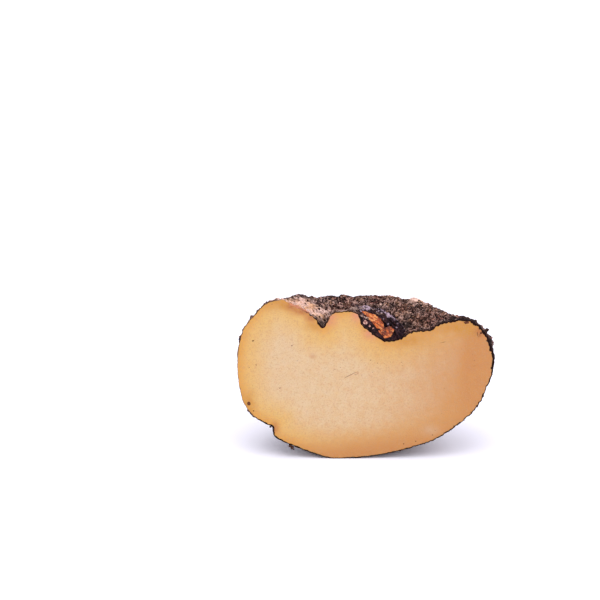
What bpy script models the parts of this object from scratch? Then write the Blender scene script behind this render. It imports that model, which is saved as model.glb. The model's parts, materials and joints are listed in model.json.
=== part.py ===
"""Half an elephant foot yam, cut from crown to base.

The corm is a squat round body with a sunken crown. One knife cut has gone through its old stem
scar, and this half stands on its own underside, leaning a little back from its cut face, which
looks towards -Y. The cut has also gone through the shoot bud that sits in the moat of the crown.

The corm's surface is a loft of half rings. Three edges run from the growing point down to the
middle of the underside: the left and right rims of the cut face, and the back of the corm. At
each row of facets half a ring joins the three. Lumps, crown wrinkles and root bosses are raised
along the surface's normals, and thread roots are fused in.
"""

import math
import random
from collections import namedtuple

import bmesh
import bpy
import numpy as np
from mathutils import Matrix, Vector, noise

# Driving dimensions, in millimetres and degrees
MM = 0.001
LEAN = 5.0  # the cut face leans back by this angle
SETTLE = 2.0  # the flat rest spot takes this much off the round underside's lowest point
GAP = 0.3  # between the bud and the corm
SHARP_ANGLE = 40.0  # edges sharper than this are shaded as edges
SEED = 41

# The corm's surface, in millimetres: x from the middle of the cut face, y behind the face, and z
# above its lowest point. Each band has its rows of facets, and the points that its three edges
# pass through after the band above it. left and right hold (x, z), and back holds (y, z).
Band = namedtuple("Band", "rows left right back")
GROWING_POINT = (-18.0, 117.0)
BASE_POINT = (-5.0, 0.9)
STEM_SCAR = Band(
    rows=3,
    left=[(-24.0, 116.3), (-28.8, 113.0)],
    right=[(-12.0, 117.5), (-7.0, 116.0), (-4.2, 112.5)],
    back=[(7.0, 116.0), (12.0, 112.0)],
)
SCAR_SIDE = Band(
    rows=4,
    left=[(-30.3, 109.5), (-33.3, 105.2)],
    right=[(-3.2, 107.5), (3.0, 101.8), (10.4, 96.7), (18.0, 93.8)],
    back=[(15.0, 108.0), (21.0, 104.0)],
)
MOAT = Band(
    rows=11,
    left=[(-39.0, 112.0), (-48.9, 119.1), (-57.5, 122.8), (-64.0, 126.5)],
    right=[(27.2, 96.5), (37.3, 101.6), (46.7, 102.8), (55.7, 106.8), (72.0, 110.4)],
    back=[(33.0, 107.0), (48.0, 113.0), (62.0, 117.5), (70.0, 118.5)],
)
SHOULDER = Band(
    rows=16,
    left=[(-77.6, 123.2), (-86.1, 114.5), (-94.5, 104.0), (-98.6, 90.0), (-99.8, 74.0)],
    right=[(81.3, 109.6), (89.5, 104.0), (94.5, 97.0), (98.5, 86.5), (100.2, 78.0)],
    back=[(80.0, 114.5), (87.5, 103.0), (91.0, 88.0), (92.0, 72.0)],
)
FLANK = Band(
    rows=18,
    left=[(-98.5, 58.0), (-94.5, 43.5), (-86.0, 33.0), (-78.4, 28.2), (-73.3, 25.4), (-71.2, 18.0)],
    right=[(99.2, 70.0), (95.7, 58.8), (88.5, 43.0), (79.4, 32.8), (67.5, 23.4), (55.2, 15.5)],
    back=[(91.0, 55.0), (86.5, 37.0), (79.5, 20.5), (71.0, 10.0)],
)
UNDERSIDE = Band(
    rows=12,
    left=[(-57.4, 10.8), (-38.0, 3.3), (-26.0, 0.2), (-15.6, 0.4), BASE_POINT],
    right=[(44.0, 11.3), (28.2, 6.5), (12.3, 3.1), BASE_POINT],
    back=[(61.0, 4.8), (48.0, 2.4), (30.0, 1.2), (0.0, BASE_POINT[1])],
)
BANDS = (STEM_SCAR, SCAR_SIDE, MOAT, SHOULDER, FLANK, UNDERSIDE)
CURVE_STEPS = 12  # points on each edge's curve from one given point to the next
COLUMNS = 58  # facets round each half ring, from the right rim to the left one
RIGHT_SWELL = 0.10  # the knife missed the widest section, so the right shoulder swells behind it
SWELL_FROM, SWELL_FULL = 55.0, 95.0  # heights between which the swell comes in
CROWN_SKEW = 11.0  # raises the crown's rim at the back right, and lowers it at the back left
SKEW_HEIGHTS, SKEW_DEPTHS = (70.0, 110.0), (25.0, 60.0)  # the skew comes in between these

# Relief, in millimetres
LUMPS = ((35.0, 2.2), (15.0, 1.2))  # (width, height) of the bark's lumps, coarse and fine
WRINKLE_PITCH, WRINKLE_HEIGHT = 9.0, 0.8  # rings of old leaf scars round the crown
WRINKLED_FROM, WRINKLED_UNTIL = 90.0, 150.0  # they fade out over this stretch down the surface
RELIEF_FREE = 12.0  # behind the cut face the relief comes in over this depth
RUBBED_FROM, RUBBED_TO = 22.0, 4.0  # the relief wears away between these heights, to rest flat
BOSSES, BOSS_SPACING, BOSS_LOWEST = 36, 18.0, 20.0
BOSS_RADIUS, BOSS_HEIGHT = (6.5, 9.5), (1.8, 3.0)
DIPS = [  # (centre, radius, height), behind the left shoulder and on the right one
    ((-57.0, 24.0, 126.0), 20.0, -3.2),
    ((71.0, 48.0, 112.0), 24.0, -3.0),
    ((77.0, 24.0, 110.5), 17.0, -2.8),
]

# Thread roots, in millimetres
ROOTS, ROOT_SIDES, ROOT_STEPS = 9, 6, 9
ROOT_LENGTH, ROOT_RADIUS = (24.0, 44.0), 1.25
ROOT_TIP = 0.55  # radius at the tip, as a share of ROOT_RADIUS
ROOT_PROUD = 0.3  # height of a root's middle line above the bark, as a share of its radius
ROOT_SUNK = 2.2  # depth of its two ends in the corm, in radii
ROOT_HEIGHTS, ROOT_DEPTH = (35.0, 100.0), 36.0  # roots start between these, and behind this depth
ROOT_TURN = 0.25  # the most that a root turns at each step, in radians

# The shoot bud, in millimetres, in the frame of the cut face
BUD_FOOT, BUD_TIP = (26.5, 95.0), (-8.5, 120.0)  # the ends of its axis, as (x, z)
BUD_HALF_WIDTH, BUD_DEPTH = 11.5, 13.0
BUD_WIDEST, BUD_REACH = 0.365, 0.64  # place of its full girth and reach of its curve, by length
BUD_ROWS, BUD_COLUMNS = 20, 16
BUD_SCALES, SCALE_STEP = 4, 0.10  # overlapping scale leaves, each standing out by this share
BUD_BOW = 2.0  # its axis bows upwards by this much

FLOOR_SIZE = 0.4  # of the cube that planes the rest spot flat, in metres

# Colours, as sRGB, with roughness
BARK_COLOUR, BARK_ROUGHNESS = (0.34, 0.25, 0.21), 0.9
FLESH_COLOUR, FLESH_ROUGHNESS = (0.93, 0.77, 0.56), 0.6
BUD_COLOUR, BUD_ROUGHNESS = (0.24, 0.15, 0.18), 0.6


def clear_scene():
    for obj in list(bpy.data.objects):
        bpy.data.objects.remove(obj, do_unlink=True)


def smoothstep(value, low, high):
    """0 below low, 1 above high, and a smooth rise between."""
    share = np.clip((value - low) / (high - low), 0.0, 1.0)
    return share * share * (3.0 - 2.0 * share)


def curve_through(points, steps):
    """Steps points a span along a smooth curve that passes through every given point."""
    points = np.array(points, float)
    chords = np.linalg.norm(np.diff(points, axis=0), axis=1)
    knots = np.concatenate([[0.0], np.cumsum(np.sqrt(chords))])
    tangents = np.gradient(points, knots, axis=0)
    share = np.linspace(0.0, 1.0, steps, endpoint=False)[:, None]
    bend = share * share * (3.0 - 2.0 * share)
    leave = share * (1.0 - share) ** 2
    arrive = share * share * (share - 1.0)
    spans = []
    for i, length in enumerate(np.diff(knots)):
        along = points[i] + bend * (points[i + 1] - points[i])
        spans.append(along + length * (leave * tangents[i] + arrive * tangents[i + 1]))
    return np.concatenate([*spans, points[-1:]])


def edge_rows(side, start):
    """One edge of the corm as a point for each row, evenly spaced along each band."""
    points = [start]
    band_ends = [0]
    for band in BANDS:
        points += getattr(band, side)
        band_ends.append(len(points) - 1)
    curve = curve_through(points, CURVE_STEPS)
    lengths = np.linalg.norm(np.diff(curve, axis=0), axis=1)
    distance = np.concatenate([[0.0], np.cumsum(lengths)])
    wanted = [np.zeros(1)]
    for band, first, last in zip(BANDS, band_ends, band_ends[1:]):
        ends = distance[first * CURVE_STEPS], distance[last * CURVE_STEPS]
        wanted.append(np.linspace(*ends, band.rows + 1)[1:])
    wanted = np.concatenate(wanted)
    return np.stack([np.interp(wanted, distance, axis) for axis in curve.T], axis=1)


def smooth_corm():
    """The corm's surface before its relief: rows by columns of points, in millimetres."""
    left = edge_rows("left", GROWING_POINT)
    right = edge_rows("right", GROWING_POINT)
    back = edge_rows("back", (0.0, GROWING_POINT[1]))
    angle = np.linspace(0.0, math.pi, COLUMNS + 1)[None, :]
    across, behind = np.cos(angle), np.sin(angle)
    middle = (left + right)[:, :, None] / 2.0
    half = (right - left)[:, :, None] / 2.0
    swell = RIGHT_SWELL * smoothstep(middle[:, 1], SWELL_FROM, SWELL_FULL)
    x = middle[:, 0] + half[:, 0] * (across + swell * behind * np.clip(across, 0.0, None))
    y = back[:, 0, None] * behind
    z = middle[:, 1] + half[:, 1] * across + (back[:, 1, None] - middle[:, 1]) * behind**2
    on_rim = smoothstep(z, *SKEW_HEIGHTS) * smoothstep(back[:, 0, None], *SKEW_DEPTHS)
    z += CROWN_SKEW * across * behind**4 * on_rim
    return np.stack([x, y, z], axis=2)


def normals_of(grid):
    """The unit normal at every point of a surface, outwards."""
    down, round_back = np.gradient(grid, axis=(0, 1))
    normals = np.cross(down, round_back)
    length = np.linalg.norm(normals, axis=2, keepdims=True)
    return normals / np.maximum(length, 1e-9)


def lumps_at(point):
    """Height of the bark's lumps at a point."""
    return sum(height * noise.noise(Vector(point) / width) for width, height in LUMPS)


def boss_spots(grid, draw):
    """The rows and columns of the root bosses, drawn evenly over the skin and kept apart."""
    first_row = STEM_SCAR.rows + SCAR_SIDE.rows + MOAT.rows
    size = np.linalg.norm(np.cross(*np.gradient(grid, axis=(0, 1))), axis=2)
    allowed = (grid[:, :, 1] > RELIEF_FREE) & (grid[:, :, 2] > BOSS_LOWEST)
    spots = []
    while len(spots) < BOSSES:
        spot = draw.randrange(first_row, len(grid)), draw.randrange(COLUMNS + 1)
        clear = all(np.linalg.norm(grid[spot] - grid[other]) > BOSS_SPACING for other in spots)
        if clear and allowed[spot] and draw.random() < size[spot] / size.max():
            spots.append(spot)
    return spots


def with_relief(grid, spots, draw):
    """The surface with its lumps, crown wrinkles, root bosses and dips raised along its normals."""
    height = np.apply_along_axis(lumps_at, 2, grid)
    steps = np.linalg.norm(np.diff(grid, axis=0), axis=2)
    distance = np.concatenate([np.zeros((1, COLUMNS + 1)), np.cumsum(steps, axis=0)])
    wrinkles = np.sin(2.0 * math.pi * distance / WRINKLE_PITCH)
    height += WRINKLE_HEIGHT * wrinkles * (1.0 - smoothstep(distance, WRINKLED_FROM, WRINKLED_UNTIL))
    rounds = [(grid[spot], draw.uniform(*BOSS_RADIUS), draw.uniform(*BOSS_HEIGHT)) for spot in spots]
    for centre, radius, tall in (*rounds, *DIPS):
        away = np.linalg.norm(grid - centre, axis=2) / radius
        height += tall * np.clip(1.0 - away**2, 0.0, None) ** 2
    height *= smoothstep(grid[:, :, 1], 0.0, RELIEF_FREE)
    height *= smoothstep(grid[:, :, 2], RUBBED_TO, RUBBED_FROM)
    return grid + height[:, :, None] * normals_of(grid)


def closed_body(name, grid, materials=(), gap=0.0):
    """A closed object of a half-ring surface and its flat cut face, swollen by gap.

    Of two materials the second goes on the cut face.
    """
    grid = grid + gap * normals_of(grid)
    rows, columns = grid.shape[:2]
    body = bmesh.new()
    top = body.verts.new(grid[0, 0] * MM)
    bottom = body.verts.new(grid[-1, 0] * MM)
    rings = [[body.verts.new(point * MM) for point in ring] for ring in grid[1:-1]]
    for upper, lower in zip(rings, rings[1:]):
        for i in range(columns - 1):
            body.faces.new((upper[i], lower[i], lower[i + 1], upper[i + 1]))
    for i in range(columns - 1):
        body.faces.new((top, rings[0][i], rings[0][i + 1]))
        body.faces.new((bottom, rings[-1][i + 1], rings[-1][i]))
    right_rim = [ring[0] for ring in rings]
    left_rim = [ring[-1] for ring in rings]
    cut_face = body.faces.new([top, *left_rim, bottom, *reversed(right_rim)])
    cut_face.material_index = max(len(materials) - 1, 0)
    obj = finished(name, body, materials)
    bpy.context.collection.objects.link(obj)
    return obj


def finished(name, body, materials):
    """An object of a closed bmesh, with its faces turned outwards and its bent quads halved."""
    bmesh.ops.recalc_face_normals(body, faces=body.faces)
    quads = [face for face in body.faces if len(face.verts) == 4]
    bmesh.ops.triangulate(body, faces=quads)
    mesh = bpy.data.meshes.new(name)
    body.to_mesh(mesh)
    body.free()
    for slot in materials:
        mesh.materials.append(slot)
    return bpy.data.objects.new(name, mesh)


def tube(name, path, ups, radii, bark):
    """A closed tapered tube along a path, in millimetres, with an up direction at each point."""
    body = bmesh.new()
    rings = []
    for i, (point, up, radius) in enumerate(zip(path, ups, radii)):
        ahead = path[min(i + 1, len(path) - 1)] - path[max(i - 1, 0)]
        side = np.cross(ahead, up)
        side /= np.linalg.norm(side)
        up = np.cross(side, ahead) / np.linalg.norm(ahead)
        ring = []
        for k in range(ROOT_SIDES):
            angle = 2.0 * math.pi * k / ROOT_SIDES
            spoke = math.cos(angle) * side + math.sin(angle) * up
            ring.append(body.verts.new((point + radius * spoke) * MM))
        rings.append(ring)
    for lower, upper in zip(rings, rings[1:]):
        for k in range(ROOT_SIDES):
            j = (k + 1) % ROOT_SIDES
            body.faces.new((lower[k], lower[j], upper[j], upper[k]))
    body.faces.new(rings[0])
    body.faces.new(rings[-1])
    return finished(name, body, (bark,))


def root_path(grid, normals, spot, draw):
    """A thread root's middle line: it leaves a boss, wanders over the bark and dips in again.

    Each of its points comes with the bark's normal there.
    """
    length, heading = draw.uniform(*ROOT_LENGTH), draw.uniform(0.0, 2.0 * math.pi)
    turning = draw.uniform(-ROOT_TURN, ROOT_TURN)
    point = grid[spot]
    path, ups = [], []
    for i in range(ROOT_STEPS):
        nearest = np.linalg.norm(grid - point, axis=2).argmin()
        out = normals.reshape(-1, 3)[nearest]
        on_bark = grid.reshape(-1, 3)[nearest]
        point = point - out * np.dot(point - on_bark, out)
        is_end = i in (0, ROOT_STEPS - 1)
        path.append(point + out * ROOT_RADIUS * (-ROOT_SUNK if is_end else ROOT_PROUD))
        ups.append(out)
        east = np.cross((0.0, 0.0, 1.0), out)
        east /= np.linalg.norm(east)
        north = np.cross(out, east)
        step = length / (ROOT_STEPS - 1)
        point = point + step * (math.cos(heading) * east + math.sin(heading) * north)
        heading += turning
    return path, ups


def thread_roots(grid, spots, draw, bark):
    """The thread roots, as separate tubes that cross the corm's surface."""
    normals = normals_of(grid)
    lowest, highest = ROOT_HEIGHTS
    on_flank = [s for s in spots if lowest < grid[s][2] < highest and grid[s][1] > ROOT_DEPTH]
    radii = np.linspace(ROOT_RADIUS, ROOT_TIP * ROOT_RADIUS, ROOT_STEPS)
    roots = []
    for i, spot in enumerate(draw.sample(on_flank, ROOTS)):
        path, ups = root_path(grid, normals, spot, draw)
        roots.append(tube(f"root_{i}", path, ups, radii, bark))
    return roots


def bud_surface():
    """The bud before it is trimmed by the moat: half rings along its axis, like the corm's."""
    foot, tip = np.array(BUD_FOOT), np.array(BUD_TIP)
    along = np.linspace(0.0, 1.0, BUD_ROWS + 1)
    axis = tip - foot
    side = np.array((-axis[1], axis[0])) / np.linalg.norm(axis)
    if side[1] < 0.0:
        side = -side
    centre = foot + along[:, None] * axis + (BUD_BOW * 4.0 * along * (1.0 - along))[:, None] * side
    girth = np.sqrt(np.clip(1.0 - ((along - BUD_WIDEST) / BUD_REACH) ** 2, 0.0, 1.0))
    overlap = 1.0 - SCALE_STEP * (along * BUD_SCALES % 1.0)
    girth = np.where((along > 0.0) & (along < 1.0), girth * overlap, 0.0)
    angle = np.linspace(0.0, math.pi, BUD_COLUMNS + 1)
    in_face = centre[:, None] + BUD_HALF_WIDTH * (girth[:, None] * np.cos(angle))[..., None] * side
    depth = GAP + BUD_DEPTH * girth[:, None] * np.sin(angle)
    return np.stack([in_face[..., 0], depth, in_face[..., 1]], axis=2)


def take_modifiers(obj):
    """Replaces an object's mesh with the one that its modifiers make."""
    depsgraph = bpy.context.evaluated_depsgraph_get()
    made = bpy.data.meshes.new_from_object(obj.evaluated_get(depsgraph))
    obj.modifiers.clear()
    obj.data = made


def boolean(obj, operation, other):
    """Cuts an object with another, or joins it with a collection, and removes what was used."""
    modifier = obj.modifiers.new(operation.lower(), "BOOLEAN")
    modifier.operation = operation
    if isinstance(other, bpy.types.Collection):
        modifier.operand_type = "COLLECTION"
        modifier.collection = other
        used = list(other.objects)
    else:
        modifier.object = other
        used = [other]
    take_modifiers(obj)
    for thing in used:
        bpy.data.objects.remove(thing, do_unlink=True)


def keep_largest_shell(obj):
    """Drops the small shells left where a root seals a hollow under it."""
    body = bmesh.new()
    body.from_mesh(obj.data)
    unseen = set(body.faces)
    shells = []
    while unseen:
        front = [unseen.pop()]
        shell = []
        while front:
            face = front.pop()
            shell.append(face)
            near = {other for edge in face.edges for other in edge.link_faces} & unseen
            unseen -= near
            front.extend(near)
        shells.append(shell)
    shells.sort(key=len)
    scraps = [face for shell in shells[:-1] for face in shell]
    bmesh.ops.delete(body, geom=scraps, context="FACES")
    body.to_mesh(obj.data)
    body.free()


def fuse_roots(corm, roots):
    group = bpy.data.collections.new("roots")
    bpy.context.scene.collection.children.link(group)
    for root in roots:
        group.objects.link(root)
    boolean(corm, "UNION", group)
    bpy.data.collections.remove(group)
    keep_largest_shell(corm)


def lean_and_settle(corm, bud):
    """Leans the half back, lowers it onto its flat rest spot and centres it over the origin."""
    lean = Matrix.Rotation(math.radians(-LEAN), 4, "X")
    for obj in (corm, bud):
        obj.data.transform(lean)
    points = np.array([vertex.co for obj in (corm, bud) for vertex in obj.data.vertices])
    low, high = points.min(axis=0), points.max(axis=0)
    drop = Vector((-(low[0] + high[0]) / 2.0, -(low[1] + high[1]) / 2.0, -low[2] - SETTLE * MM))
    for obj in (corm, bud):
        obj.data.transform(Matrix.Translation(drop))
    bpy.ops.mesh.primitive_cube_add(size=FLOOR_SIZE, location=(0.0, 0.0, -FLOOR_SIZE / 2.0))
    boolean(corm, "DIFFERENCE", bpy.context.object)


def material(name, colour, roughness):
    """A plain material from an sRGB colour."""
    made = bpy.data.materials.new(name)
    made.use_nodes = True
    shader = made.node_tree.nodes["Principled BSDF"]
    linear = [((channel + 0.055) / 1.055) ** 2.4 for channel in colour]
    shader.inputs["Base Color"].default_value = (*linear, 1.0)
    shader.inputs["Roughness"].default_value = roughness
    shader.inputs["Metallic"].default_value = 0.0
    return made


def main():
    clear_scene()
    bark = material("bark", BARK_COLOUR, BARK_ROUGHNESS)
    flesh = material("flesh", FLESH_COLOUR, FLESH_ROUGHNESS)
    scales = material("bud_scales", BUD_COLOUR, BUD_ROUGHNESS)
    draw = random.Random(SEED)
    smooth = smooth_corm()
    spots = boss_spots(smooth, draw)
    surface = with_relief(smooth, spots, draw)
    corm = closed_body("corm", surface, (bark, flesh))
    bud = closed_body("bud", bud_surface(), (scales, flesh))
    boolean(bud, "DIFFERENCE", closed_body("moat", surface, gap=GAP))
    fuse_roots(corm, thread_roots(surface, spots, draw, bark))
    lean_and_settle(corm, bud)
    for obj in (corm, bud):
        obj.data.shade_smooth()
        obj.data.set_sharp_from_angle(angle=math.radians(SHARP_ANGLE))


if __name__ == "__main__":
    main()
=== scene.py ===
"""Half an elephant foot yam as it looks: bark, flesh, shoot bud, roots, and the soil left on it.

All shapes are made in the frame of the cut face, in millimetres: x from the middle of the face to
its right, y behind the face and z up along it, above the face's lowest point. The last step takes
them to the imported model's frame, whose cut face tells how far it leans.
"""

import json
import math
import random
from collections import namedtuple

import bmesh
import bpy
import numpy as np
from mathutils import Matrix, Vector, geometry, kdtree, noise


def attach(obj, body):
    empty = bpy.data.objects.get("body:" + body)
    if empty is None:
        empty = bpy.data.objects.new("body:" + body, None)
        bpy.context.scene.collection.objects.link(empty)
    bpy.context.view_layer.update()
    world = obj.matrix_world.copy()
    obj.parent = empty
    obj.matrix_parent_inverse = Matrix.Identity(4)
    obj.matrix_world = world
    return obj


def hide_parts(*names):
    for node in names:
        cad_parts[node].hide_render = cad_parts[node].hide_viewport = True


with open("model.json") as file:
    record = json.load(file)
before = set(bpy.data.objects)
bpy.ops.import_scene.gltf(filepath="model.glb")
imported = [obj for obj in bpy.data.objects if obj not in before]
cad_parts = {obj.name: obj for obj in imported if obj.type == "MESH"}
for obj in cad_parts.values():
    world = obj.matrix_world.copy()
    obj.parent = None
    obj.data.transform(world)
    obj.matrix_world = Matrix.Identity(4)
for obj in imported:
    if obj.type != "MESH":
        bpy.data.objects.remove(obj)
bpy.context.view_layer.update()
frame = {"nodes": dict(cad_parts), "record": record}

MM = 0.001
BODY = "root"
SEEDS = {
    "skin": 7,
    "flesh": 8,
    "rootlets": 9,
    "stubs": 10,
    "soil": 11,
    "flecks": 12,
    "fibres": 13,
    "strands": 14,
    "bud": 15,
}
ON_CUT = 2e-5  # how far off the cut's plane a point of the solid still counts as on it, in metres
SHARP_ANGLE = 62.0

# The corm's surface, with the values of its solid. Each band has its rows of facets, and the
# points that its three edges pass through after the band above it. left and right hold (x, z),
# and back holds (y, z).
SEED = 41
Band = namedtuple("Band", "rows left right back")
GROWING_POINT = (-18.0, 117.0)
BASE_POINT = (-5.0, 0.9)
STEM_SCAR = Band(
    rows=3,
    left=[(-24.0, 116.3), (-28.8, 113.0)],
    right=[(-12.0, 117.5), (-7.0, 116.0), (-4.2, 112.5)],
    back=[(7.0, 116.0), (12.0, 112.0)],
)
SCAR_SIDE = Band(
    rows=4,
    left=[(-30.3, 109.5), (-33.3, 105.2)],
    right=[(-3.2, 107.5), (3.0, 101.8), (10.4, 96.7), (18.0, 93.8)],
    back=[(15.0, 108.0), (21.0, 104.0)],
)
MOAT = Band(
    rows=11,
    left=[(-39.0, 112.0), (-48.9, 119.1), (-57.5, 122.8), (-64.0, 126.5)],
    right=[(27.2, 96.5), (37.3, 101.6), (46.7, 102.8), (55.7, 106.8), (72.0, 110.4)],
    back=[(33.0, 107.0), (48.0, 113.0), (62.0, 117.5), (70.0, 118.5)],
)
SHOULDER = Band(
    rows=16,
    left=[(-77.6, 123.2), (-86.1, 114.5), (-94.5, 104.0), (-98.6, 90.0), (-99.8, 74.0)],
    right=[(81.3, 109.6), (89.5, 104.0), (94.5, 97.0), (98.5, 86.5), (100.2, 78.0)],
    back=[(80.0, 114.5), (87.5, 103.0), (91.0, 88.0), (92.0, 72.0)],
)
FLANK = Band(
    rows=18,
    left=[(-98.5, 58.0), (-94.5, 43.5), (-86.0, 33.0), (-78.4, 28.2), (-73.3, 25.4), (-71.2, 18.0)],
    right=[(99.2, 70.0), (95.7, 58.8), (88.5, 43.0), (79.4, 32.8), (67.5, 23.4), (55.2, 15.5)],
    back=[(91.0, 55.0), (86.5, 37.0), (79.5, 20.5), (71.0, 10.0)],
)
UNDERSIDE = Band(
    rows=12,
    left=[(-57.4, 10.8), (-38.0, 3.3), (-26.0, 0.2), (-15.6, 0.4), BASE_POINT],
    right=[(44.0, 11.3), (28.2, 6.5), (12.3, 3.1), BASE_POINT],
    back=[(61.0, 4.8), (48.0, 2.4), (30.0, 1.2), (0.0, BASE_POINT[1])],
)
BANDS = (STEM_SCAR, SCAR_SIDE, MOAT, SHOULDER, FLANK, UNDERSIDE)
CURVE_STEPS = 12
COLUMNS = 58
RIGHT_SWELL = 0.10
SWELL_FROM, SWELL_FULL = 55.0, 95.0
CROWN_SKEW = 11.0
SKEW_HEIGHTS, SKEW_DEPTHS = (70.0, 110.0), (25.0, 60.0)
LUMPS = ((35.0, 2.2), (15.0, 1.2))
WRINKLE_PITCH, WRINKLE_HEIGHT = 9.0, 0.8
WRINKLED_FROM, WRINKLED_UNTIL = 90.0, 150.0
RELIEF_FREE = 12.0
RUBBED_FROM, RUBBED_TO = 22.0, 4.0
BOSSES, BOSS_SPACING, BOSS_LOWEST = 36, 18.0, 20.0
BOSS_RADIUS, BOSS_HEIGHT = (6.5, 9.5), (1.8, 3.0)
DIPS = [
    ((-57.0, 24.0, 126.0), 20.0, -3.2),
    ((71.0, 48.0, 112.0), 24.0, -3.0),
    ((77.0, 24.0, 110.5), 17.0, -2.8),
]
ROOTS, ROOT_STEPS = 9, 9
ROOT_LENGTH, ROOT_RADIUS = (24.0, 44.0), 1.25
ROOT_TIP = 0.55
ROOT_PROUD = 0.3
ROOT_SUNK = 2.2
ROOT_HEIGHTS, ROOT_DEPTH = (35.0, 100.0), 36.0
ROOT_TURN = 0.25

# Detail that the solid leaves out
DETAIL = 5  # fine rows and columns for each one of the solid
PLATES = ((7.5, 0.55, 0.4), (3.2, 0.4, 1.0))  # (width, height, paleness) of the bark's scabs
GRAIN = ((5.0, 0.8), (1.8, 0.45))  # (width, height) of its roughness
RINGS = (3.6, 0.5)  # pitch and height of the crown's fine rings
RING_DRIFT, DRIFT_WIDTH = 5.0, 14.0  # how far the rings stray, and over what width
SCARS, SCAR_RADIUS, SCAR_HEIGHT = 210, (1.8, 3.6), (0.4, 1.0)
RAGGED_LEFT, RAGGED_RIGHT = 0.25, 0.75  # share of the fine relief that reaches the cut
RAGGED_OVER = (-60.0, 60.0)  # it changes from one to the other between these
RAGGED_DEPTH = 8.0  # behind the cut the relief is whole
RECESS = 3.0  # depth of the recess that holds the flesh
RECESS_DRAFT = 1.0  # it narrows by this much
SEAM = 0.02  # between the flesh and the bark
FLESH_STEP = 1.15
BARK_EDGE = [  # (x, z, thickness) of the bark along the rim of the cut
    (-18.0, 117.0, 0.8),
    (-30.0, 111.0, 0.4),
    (-33.3, 105.2, 1.6),
    (-40.0, 112.5, 1.5),
    (-50.0, 119.6, 1.2),
    (-64.0, 126.5, 0.5),
    (-90.0, 110.0, 0.3),
    (-99.8, 74.0, 0.22),
    (-94.0, 42.0, 0.3),
    (-72.0, 22.0, 1.0),
    (-50.0, 8.0, 0.7),
    (-5.0, 0.9, 0.6),
    (44.0, 11.3, 0.7),
    (72.0, 27.0, 0.7),
    (95.0, 58.0, 0.7),
    (100.0, 78.0, 1.3),
    (98.5, 87.0, 1.7),
    (95.0, 96.0, 1.3),
    (86.0, 107.0, 1.5),
    (72.0, 110.4, 1.0),
    (46.0, 102.8, 1.0),
    (20.0, 94.0, 0.9),
    (3.0, 101.8, 0.8),
]
EDGE_REACH = 9.0  # each of these thicknesses blends into the next ones over this
NICKS = [(-74.0, 23.0, 0.8, 2.4), (97.7, 76.5, 1.6, 1.6), (51.0, 104.6, 1.6, 2.4)]

# Where the bark and the flesh take other colours, as (centre, radii). The flesh's patches lie on
# the cut: theirs are (x, z) and (wide, tall).
SKIN_PATCHES = {
    "crust": [
        ((-46.0, 10.0, 121.0), (22.0, 24.0, 15.0)),
        ((-60.0, 4.0, 127.0), (6.0, 7.0, 5.0)),
        ((-18.0, 6.0, 118.0), (13.0, 4.0, 5.0)),
        ((46.0, 61.0, 122.0), (10.0, 9.0, 6.0)),
    ],
    "stain": [
        ((-56.0, 1.0, 121.5), (6.0, 3.0, 4.0)),
        ((-48.0, 1.0, 117.5), (7.0, 3.0, 4.0)),
        ((-34.0, 2.0, 110.0), (3.0, 4.0, 3.0)),
    ],
    # Painted shade: the shadow of a corm that lay on the crown, shade in the moat's gap beside the
    # bud, in a hole and a crevice at the left, and along the right rim, which faces away from the
    # light. Three small spots at the moat's right only darken the bark.
    "dark": [
        ((-38.0, 3.0, 112.5), (2.4, 3.0, 2.2)),
        ((-32.0, 4.0, 107.0), (6.5, 11.0, 6.5)),
        ((12.0, 2.0, 98.0), (17.0, 9.0, 7.0)),
        ((33.0, 20.0, 104.0), (6.0, 10.0, 5.0)),
        ((76.0, 6.0, 111.0), (16.0, 12.0, 5.0)),
        ((41.0, 1.0, 102.6), (1.5, 2.5, 2.0)),
        ((46.7, 1.0, 103.0), (1.5, 2.5, 2.0)),
        ((58.0, 1.5, 107.5), (2.5, 2.5, 2.5)),
        ((99.0, 2.0, 82.0), (8.0, 9.0, 26.0)),
        ((88.0, 2.0, 106.0), (13.0, 7.0, 6.0)),
    ],
}
# Paler cut bark at the top left and the left of the rim: partly the skin's cream colour, partly a
# painted highlight on the side towards the light.
PALE_RIM = [((-58.0, 0.0, 120.0), (20.0, 9.0, 12.0)), ((-98.0, 0.0, 55.0), (16.0, 9.0, 45.0))]
FLESH_PATCH_DEPTH = 9.0
FLESH_PATCHES = {
    # Warmer and darker to the right and along the bottom: the flesh's warmer tone, and painted shade
    # of light that falls from the left.
    "warm": [
        ((122.0, 40.0), (96.0, 130.0)),
        ((10.0, -8.0), (120.0, 24.0)),
        ((93.0, 78.0), (12.0, 30.0)),
    ],
    "pink": [((-28.0, 111.0), (6.0, 5.0)), ((-6.5, 114.0), (4.5, 6.0)), ((4.0, 99.0), (5.0, 4.0))],
    "glow": [
        ((33.0, 94.0), (13.0, 5.0)),
        ((71.0, 105.5), (19.0, 6.0)),
        ((83.0, 102.0), (8.0, 5.0)),
        ((-68.0, 122.0), (12.0, 4.0)),
        ((-41.0, 105.0), (6.0, 3.0)),
        ((-92.0, 45.0), (6.0, 10.0)),
    ],
    "rust": [
        ((-58.0, 121.0), (4.0, 3.5)),
        ((-50.0, 117.0), (6.0, 3.0)),
        ((-42.0, 112.0), (5.0, 3.0)),
        ((89.0, 101.0), (4.0, 4.0)),
        ((-70.5, 25.0), (2.4, 4.0)),
    ],
    "rough": [((51.0, 23.0), (7.0, 4.0)), ((-41.0, 82.0), (3.0, 2.0))],
}

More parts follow.
